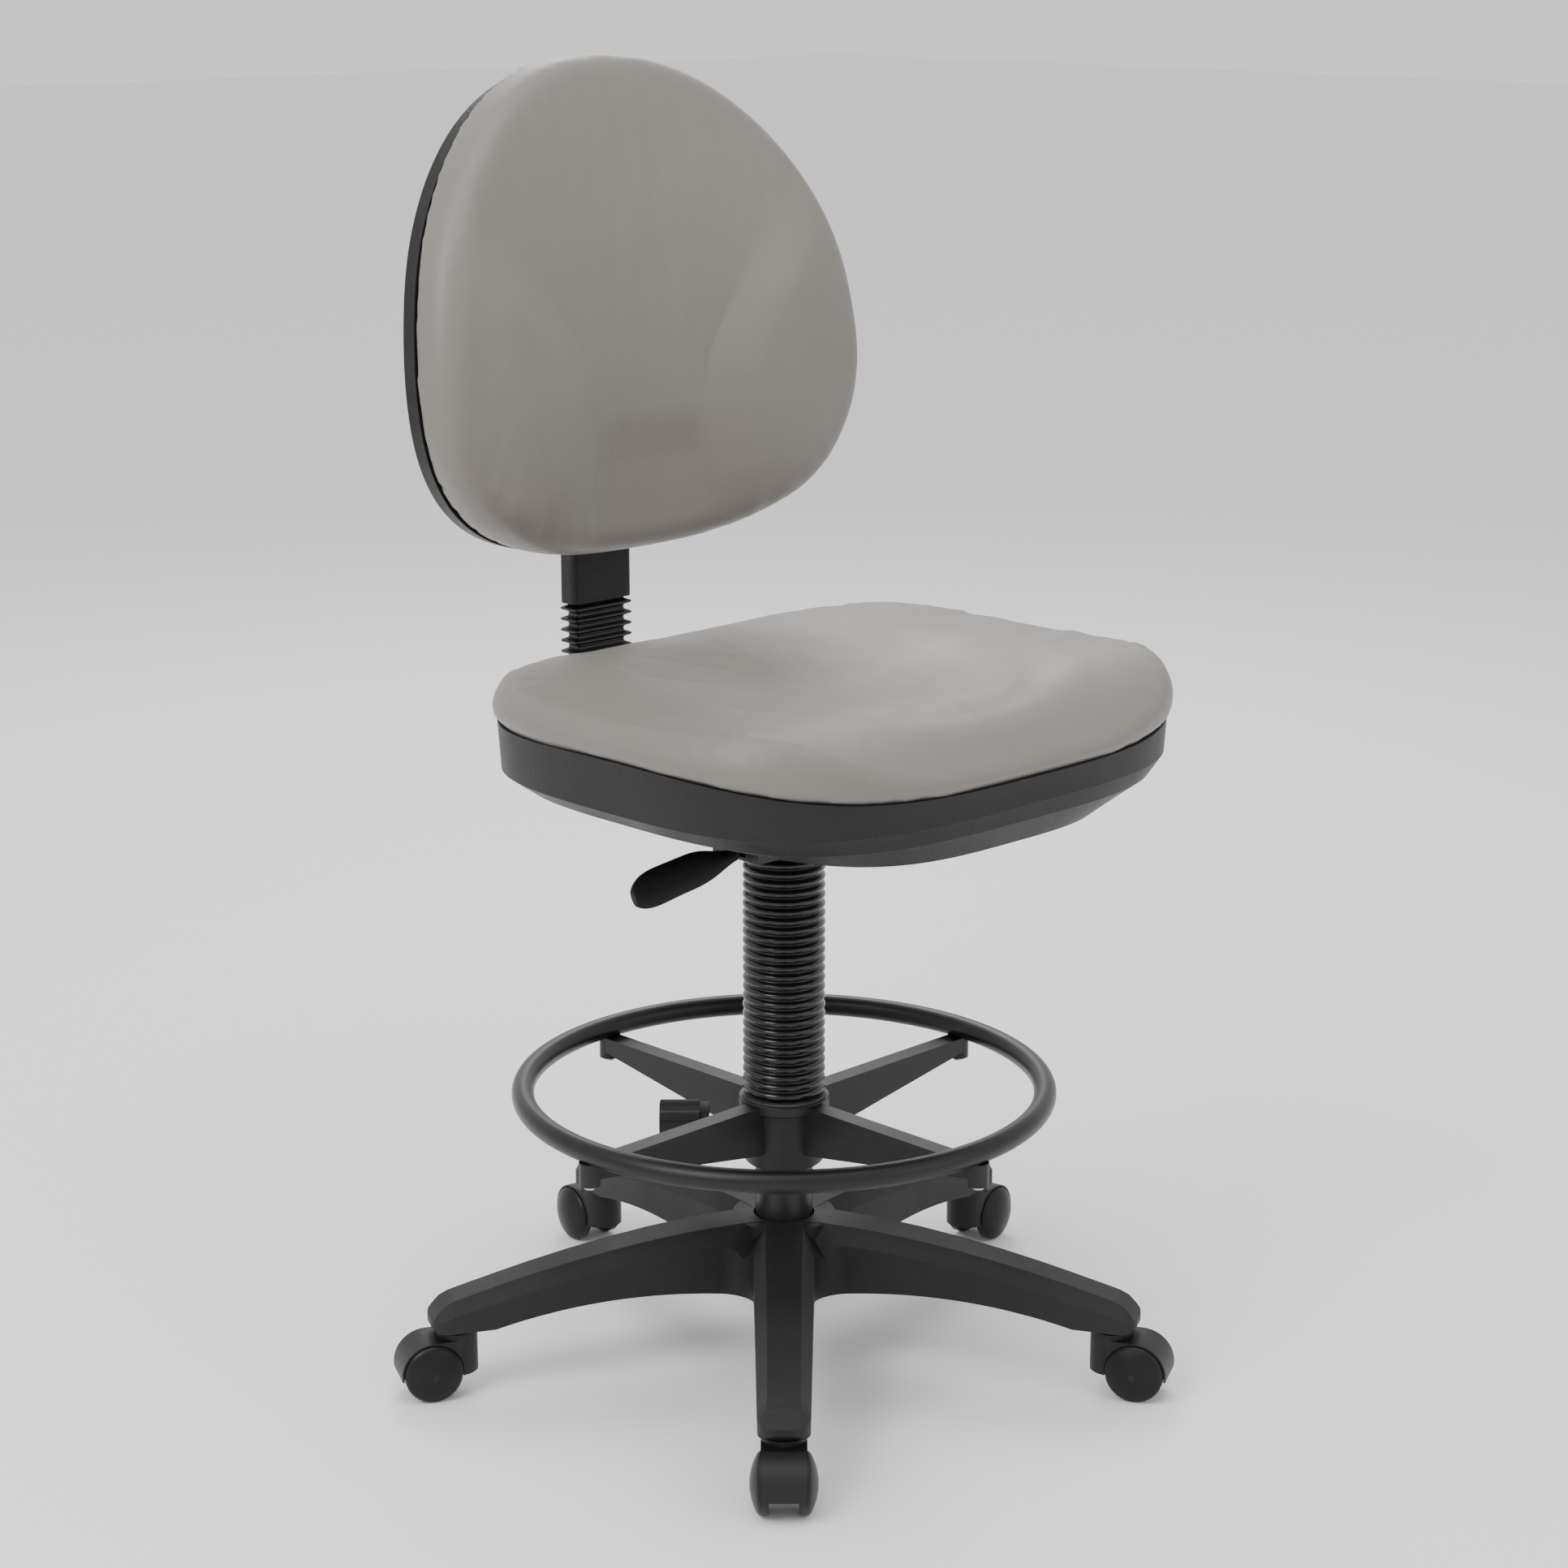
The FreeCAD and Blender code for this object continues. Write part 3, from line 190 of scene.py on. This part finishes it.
def finish_surface(name, colour, roughness, grain, depth, wear=0.25,
                   metal=0.0, coat=0.0, specular=0.5, brushed=None):
    """A procedural surface: moulded or sprayed grain, uneven gloss and rubbed edges."""
    made = plain(name, colour, roughness)
    graph = Graph(made)
    shader = graph.shader
    shader.inputs["Metallic"].default_value = metal
    shader.inputs["Coat Weight"].default_value = coat
    shader.inputs["Coat Roughness"].default_value = 0.12
    shader.inputs["Specular IOR Level"].default_value = specular
    patches = graph.noise(9.0, 4.0, 0.6)
    if brushed is None:
        fine = graph.noise(grain * 2.2, 2.0, 0.5)
    else:
        fine = graph.noise(grain, 2.0, 0.5, graph.stretched(brushed))
    pits = graph.cells(grain)
    lift = graph.maths("ADD", fine, pits)
    edge = graph.spread(graph.add("ShaderNodeNewGeometry").outputs["Pointiness"], 0.0, 1.0, 0.51, 0.58)
    rubbed = graph.maths("MULTIPLY", edge, wear)
    bright = tuple(min(1.0, value * 1.9 + 0.03) for value in colour) + (1,)
    dull = tuple(value * 0.82 for value in colour) + (1,)
    base = graph.blend(graph.spread(patches, 0.0, 0.35), (*colour, 1), dull)
    graph.feed(shader.inputs["Base Color"], graph.blend(rubbed, base, bright))
    gloss = graph.spread(patches, roughness * 0.9, min(1.0, roughness * 1.15))
    speck = graph.spread(fine, -0.05, 0.05)
    graph.feed(shader.inputs["Roughness"], graph.maths("ADD", gloss, speck))
    graph.feed(shader.inputs["Normal"], graph.bump(lift, 0.6, depth))
    return made


def vinyl(name, colour):
    """Upholstery vinyl: leather-like cells over a slow unevenness, with painted shade in the low centres of
    the cells.
    """
    made = plain(name, colour, 0.46)
    graph = Graph(made)
    shader = graph.shader
    shader.inputs["Specular IOR Level"].default_value = 0.42
    shader.inputs["Sheen Weight"].default_value = 0.06
    cells = graph.cells(820.0, 0.35)
    pores = graph.noise(2300.0, 2.0, 0.6)
    slow = graph.noise(14.0, 3.0, 0.5)
    faded = tuple(value * 0.95 for value in colour) + (1,)
    tone = graph.blend(graph.spread(slow, 0.0, 0.5), (*colour, 1), faded)
    # painted shade: the low centres of the grain's cells, where the bump dips, are painted darker
    pit_shade_colour = tuple(value * 0.86 for value in colour) + (1,)
    pit_shade = graph.spread(cells, 0.55, 0.0, 0.0, 0.35)
    graph.feed(shader.inputs["Base Color"], graph.blend(pit_shade, tone, pit_shade_colour))
    graph.feed(shader.inputs["Roughness"], graph.spread(slow, 0.42, 0.52))
    grain = graph.bump(graph.maths("ADD", cells, graph.maths("MULTIPLY", pores, 0.35)), 0.5, 0.00022)
    graph.feed(shader.inputs["Normal"], graph.bump(slow, 0.25, 0.0012, grain))
    return made


def plywood(name):
    made = plain(name, (0.5, 0.34, 0.2), 0.6)
    graph = Graph(made)
    rings = graph.noise(22.0, 5.0, 0.6, graph.stretched((0.25, 3.0, 30.0)))
    graph.feed(graph.shader.inputs["Base Color"],
               graph.blend(graph.spread(rings, 0.0, 1.0), (0.55, 0.4, 0.25, 1), (0.4, 0.26, 0.15, 1)))
    graph.feed(graph.shader.inputs["Normal"], graph.bump(rings, 0.4, 0.0004))
    return made


BLACK = (0.006, 0.006, 0.0064)
VINYL = (0.176, 0.160, 0.145)
MATERIALS = {
    "base_plastic": finish_surface(
        "nylon", (0.0065, 0.0065, 0.007), 0.5, 900.0, 0.0005, 0.3, specular=0.24),
    "caster_plastic": finish_surface(
        "caster_plastic", BLACK, 0.42, 1500.0, 0.00014, 0.2, specular=0.24),
    "wheel_plastic": finish_surface(
        "wheel_plastic", BLACK, 0.36, 1600.0, 0.0001, 0.25, specular=0.24),
    "bright_steel": finish_surface(
        "zinc_steel", (0.52, 0.52, 0.54), 0.34, 1200.0, 0.00008, 0.2, 1.0, brushed=(1.0, 1.0, 12.0)),
    "painted_steel": finish_surface(
        "powder_coat", BLACK, 0.33, 1300.0, 0.00012, 0.2, specular=0.34),
    "spring_tube": finish_surface(
        "spring_paint", (0.008, 0.008, 0.0085), 0.26, 1800.0, 0.00005, 0.2, coat=0.2),
    "painted_casting": finish_surface(
        "casting_paint", (0.007, 0.007, 0.0075), 0.38, 1100.0, 0.00018, 0.2, specular=0.3),
    "bush_plastic": finish_surface(
        "bush_plastic", (0.03, 0.03, 0.03), 0.45, 1500.0, 0.00008, 0.2),
    "bellows_plastic": finish_surface(
        "bellows_plastic", (0.004, 0.004, 0.0044), 0.2, 1700.0, 0.00005, 0.1, coat=0.25, specular=0.35),
    "accordion_plastic": finish_surface(
        "accordion_plastic", (0.004, 0.004, 0.0044), 0.25, 1700.0, 0.00006, 0.1, coat=0.2, specular=0.35),
    "shell_plastic": finish_surface(
        "shell_plastic", (0.007, 0.007, 0.0075), 0.45, 850.0, 0.00045, 0.2, specular=0.24),
    "vinyl": vinyl("vinyl", VINYL),
    "plywood": plywood("plywood"),
}


def dress_nodes():
    for name, node in NODES.items():
        node.data.materials.clear()
        node.data.materials.append(MATERIALS[SLOT_OF[name]])


# ---------------------------------------------------------------- meshes

SKIN_VOXEL = 0.005          # grid of the even skins that the cloth step blows up
LAST_FRAME = 20             # the cloth has settled by then
MOST_MOVED = 0.024          # the furthest that any vertex may leave its CAD place
SEAT_CENTRE = -0.062        # along Y
SEAT_HALF_DEPTH = 0.222
RIM_TOP = 0.593             # top of the seat pan's rim at the rear
RIM_DIP = 0.022             # how much lower the rim is at the front

def smoothstep(value, low, high):
    share = np.clip((value - low) / (high - low), 0.0, 1.0)
    return share * share * (3.0 - 2.0 * share)


def hump(value, middle, width):
    return np.exp(-((value - middle) / width) ** 2)


def points_of(mesh):
    flat = np.empty(len(mesh.vertices) * 3)
    mesh.vertices.foreach_get("co", flat)
    return flat.reshape(-1, 3)


def normals_of(mesh):
    flat = np.empty(len(mesh.vertices) * 3)
    mesh.vertices.foreach_get("normal", flat)
    return flat.reshape(-1, 3)


def put_points(mesh, points):
    mesh.vertices.foreach_set("co", points.ravel())
    mesh.update()


def smooth_faces(mesh):
    mesh.polygons.foreach_set("use_smooth", [True] * len(mesh.polygons))
    mesh.update()


def show(name, mesh, slot):
    piece = bpy.data.objects.new(name, mesh)
    SCENE.collection.objects.link(piece)
    mesh.materials.clear()
    mesh.materials.append(MATERIALS[slot])
    return piece


def baked(piece):
    """Replace a piece's mesh by what its modifiers make of it."""
    graph = bpy.context.evaluated_depsgraph_get()
    made = bpy.data.meshes.new_from_object(piece.evaluated_get(graph))
    piece.modifiers.clear()
    piece.data = made
    return made


def even_skin(name, node, slot, voxel):
    """A closed skin of even faces over a CAD solid, softened at its hard edges."""
    piece = show(name, NODES[node].data.copy(), slot)
    weld = piece.modifiers.new("weld", "WELD")
    weld.merge_threshold = 0.0001
    remesh = piece.modifiers.new("remesh", "REMESH")
    remesh.mode = "VOXEL"
    remesh.voxel_size = voxel
    soften = piece.modifiers.new("soften", "SMOOTH")
    soften.iterations = 6
    soften.factor = 0.5
    baked(piece)
    return piece


def inflate(piece, held, share):
    """Blow the skin up as cloth; held says how firmly it is tacked, share how much of the move stays."""
    before = points_of(piece.data)
    group = piece.vertex_groups.new(name="held")
    for index in np.nonzero(held > 0.01)[0]:
        group.add([int(index)], float(held[index]), "REPLACE")
    cloth = piece.modifiers.new("cloth", "CLOTH")
    cloth.settings.quality = 4
    cloth.settings.mass = 0.35
    cloth.settings.tension_stiffness = 20
    cloth.settings.compression_stiffness = 20
    cloth.settings.shear_stiffness = 8
    cloth.settings.bending_stiffness = 1.5
    cloth.settings.vertex_group_mass = "held"
    cloth.settings.use_pressure = True
    cloth.settings.uniform_pressure_force = 4
    cloth.settings.effector_weights.gravity = 0
    cloth.collision_settings.use_collision = False
    cloth.point_cache.frame_start = 1
    cloth.point_cache.frame_end = LAST_FRAME
    for number in range(1, LAST_FRAME + 1):
        SCENE.frame_set(number)
    blown = points_of(baked(piece))
    SCENE.frame_set(1)
    moved = (blown - before) * share
    length = np.linalg.norm(moved, axis=1, keepdims=True)
    moved *= np.minimum(1.0, MOST_MOVED / np.maximum(length, 1e-9))
    put_points(piece.data, before + moved)


def refine(piece):
    level = piece.modifiers.new("refine", "SUBSURF")
    level.levels = 1
    level.render_levels = 1
    baked(piece)


def rim_height(along):
    """Height of the pan's rim, which dips towards the front."""
    level_end = SEAT_CENTRE + 0.04
    share = np.clip((level_end - along) / (SEAT_HALF_DEPTH + 0.04), 0.0, 1.2)
    return RIM_TOP - RIM_DIP * share ** 3.2


def make_seat_cushion():
    """A dished seat with a roll at the front, low bolsters and a tuck where it meets the pan."""
    piece = even_skin("seat_cushion_cover", "seat_cushion", "vinyl", SKIN_VOXEL)
    points = points_of(piece.data)
    held = 1.0 - smoothstep(points[:, 2] - rim_height(points[:, 1]), 0.004, 0.022)
    inflate(piece, held, 0.3)
    refine(piece)
    points, normals = points_of(piece.data), normals_of(piece.data)
    across, along = np.abs(points[:, 0]), points[:, 1]
    top = smoothstep(normals[:, 2], 0.35, 0.9)
    reach = np.sqrt((across / 0.172) ** 2 + ((along - SEAT_CENTRE) / 0.166) ** 2)
    front = smoothstep(-along, 0.05, 0.17)
    lift = -0.0065 * (1 - smoothstep(reach, 0.3, 1.1))
    lift -= 0.0013 * hump(reach, 0.97, 0.075) * front
    lift += 0.0011 * hump(reach, 1.16, 0.1) * front
    seat_bones = hump(across, 0.078, 0.05) * hump(along, 0.055, 0.07)
    lift -= 0.0026 * seat_bones
    lift -= 0.0012 * hump(across, 0.117, 0.016) * hump(along, 0.05, 0.045)
    lift += 0.0011 * hump(across, 0.142, 0.022) * hump(along, 0.045, 0.06)
    sway = np.sin(points[:, 0] * 61 + along * 23) + np.sin(along * 74 - points[:, 0] * 17)
    lift += 0.00022 * sway
    points[:, 2] += lift * top
    tuck = hump(points[:, 2] - rim_height(along), 0.0, 0.004)
    points -= normals * (0.0012 * tuck)[:, None]
    put_points(piece.data, points)
    smooth_faces(piece.data)
    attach(piece, "seat")
    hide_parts("seat_cushion")


def channel_half(height):
    """Half the width of the hollow down the middle of the back, which opens out above the loin."""
    return 0.062 + 0.095 * smoothstep(height, 0.815, 1.0) ** 1.2


def make_back_cushion():
    """Two lobes beside a hollow channel, a pocket at the loin and small puckers at the lower -X edge."""
    piece = even_skin("back_cushion_cover", "back_cushion", "vinyl", SKIN_VOXEL)
    middle = 0.5 * (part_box("back_shell")[0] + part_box("back_shell")[1])
    points, normals = points_of(piece.data), normals_of(piece.data)
    edge = smoothstep(-normals[:, 1], -0.05, 0.55)
    inflate(piece, 1.0 - edge, 0.22)
    refine(piece)
    points, normals = points_of(piece.data), normals_of(piece.data)
    across, height = np.abs(points[:, 0]), points[:, 2]
    front = smoothstep(-normals[:, 1], 0.3, 0.85)
    half = channel_half(height)
    fade_up = 1 - smoothstep(height, 0.90, 1.03)
    fade_down = smoothstep(height, 0.69, 0.76)
    fade_side = 1 - smoothstep(across, 0.15, 0.225)
    lobe = smoothstep(across, half - 0.012, half + 0.055) * fade_side * fade_up * (0.35 + 0.65 * fade_down)
    push = 0.011 * lobe
    pocket = (1 - smoothstep(across, half - 0.02, half + 0.008))
    ledge = (1 - smoothstep(height, 0.770, 0.818)) * smoothstep(height, 0.675, 0.775)
    push -= 0.0048 * pocket * ledge
    push -= 0.0013 * hump(across, half, 0.006) * (1 - smoothstep(height, 0.85, 0.95)) * fade_down
    sway = np.sin(points[:, 0] * 47 + height * 31) + np.sin(height * 66 - points[:, 0] * 21)
    push += 0.0002 * sway
    points[:, 1] -= push * front
    turn = np.arctan2(height - middle.z, points[:, 0])
    rim = hump(-normals[:, 1], -0.35, 0.3)
    for spot, width in ((-2.62, 0.012), (-2.5, 0.016), (-2.39, 0.012), (-2.28, 0.018)):
        points -= normals * (0.0015 * hump(turn, spot, width) * rim)[:, None]
    put_points(piece.data, points)
    smooth_faces(piece.data)
    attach(piece, "back")
    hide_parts("back_cushion")


def lathe(name, profile, slot, segments=96):
    """A mesh turned about the column from (radius, height) points."""
    profile = np.array(profile)
    turns = np.linspace(0, 2 * math.pi, segments, endpoint=False)
    rows = [np.stack([profile[:, 0] * math.cos(turn), profile[:, 0] * math.sin(turn), profile[:, 1]], 1)
            for turn in turns]
    count = len(profile)
    faces = []
    for index in range(segments):
        left, right = index * count, (index + 1) % segments * count
        faces += [(left + step, right + step, right + step + 1, left + step + 1) for step in range(count - 1)]
    return from_parts(name, np.vstack(rows), faces, slot)


def from_parts(name, points, faces, slot):
    mesh = bpy.data.meshes.new(name)
    mesh.from_pydata(points.tolist(), [], faces)
    mesh.validate()
    made = bmesh.new()
    made.from_mesh(mesh)
    bmesh.ops.recalc_face_normals(made, faces=made.faces)
    made.to_mesh(mesh)
    made.free()
    smooth_faces(mesh)
    return show(name, mesh, slot)


def make_column_bellows():
    """Ribbed sleeve between the gas rod and the seat."""
    low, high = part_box("column_bellows")
    ribs, inner, outer = 26, 0.0312, high.x - 0.0002
    pitch = (high.z - low.z) / ribs
    profile = []
    for rib in range(ribs):
        for step in range(10):
            share = step / 10
            radius = inner + (outer - inner) * math.sin(math.pi * share) ** 0.62
            profile.append((radius, low.z + (rib + share) * pitch))
    profile.append((inner, high.z))
    inside = [(radius - 0.0011, height) for radius, height in profile[::-1]]
    piece = lathe("bellows_sleeve", profile + inside + profile[:1], "bellows_plastic")
    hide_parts("column_bellows")
    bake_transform(piece)


def rounded_loop(half_across, half_along, corner, height, centre):
    """The points of a rectangle with round corners, at one height."""
    points = []
    for quarter, (side, end) in enumerate(((1, 1), (-1, 1), (-1, -1), (1, -1))):
        for step in range(6):
            turn = math.radians(90 * quarter + 18 * step)
            points.append((side * (half_across - corner) + corner * math.cos(turn),
                           centre + end * (half_along - corner) + corner * math.sin(turn), height))
    return points


def make_accordion():
    """Folded square sleeve around the upright, between the seat and the back."""
    low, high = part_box("j_bar_accordion")
    folds, centre = 8, 0.5 * (low.y + high.y)
    pitch = (high.z - low.z) / folds
    levels = [(0.0, 0.0), (0.2, 0.05), (0.38, 0.85), (0.45, 1.0), (0.55, 1.0), (0.62, 0.85), (0.8, 0.05)]
    loops = []
    for fold in range(folds):
        for share, out in levels:
            height = low.z + (fold + share) * pitch
            loops.append(rounded_loop(0.0283 + 0.0057 * out, 0.0069 + 0.0041 * out, 0.0035, height, centre))
    loops.append(rounded_loop(0.0283, 0.0069, 0.0035, high.z, centre))
    points = np.array(loops).reshape(-1, 3)
    around = len(loops[0])
    faces = []
    for row in range(len(loops) - 1):
        for step in range(around):
            after = (step + 1) % around
            faces.append((row * around + step, row * around + after, (row + 1) * around + after,
                          (row + 1) * around + step))
    piece = from_parts("j_bar_gaiter", points, faces, "accordion_plastic")
    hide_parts("j_bar_accordion")
    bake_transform(piece)


add_camera()
add_studio()
dress_nodes()
make_seat_cushion()
make_back_cushion()
make_column_bellows()
make_accordion()
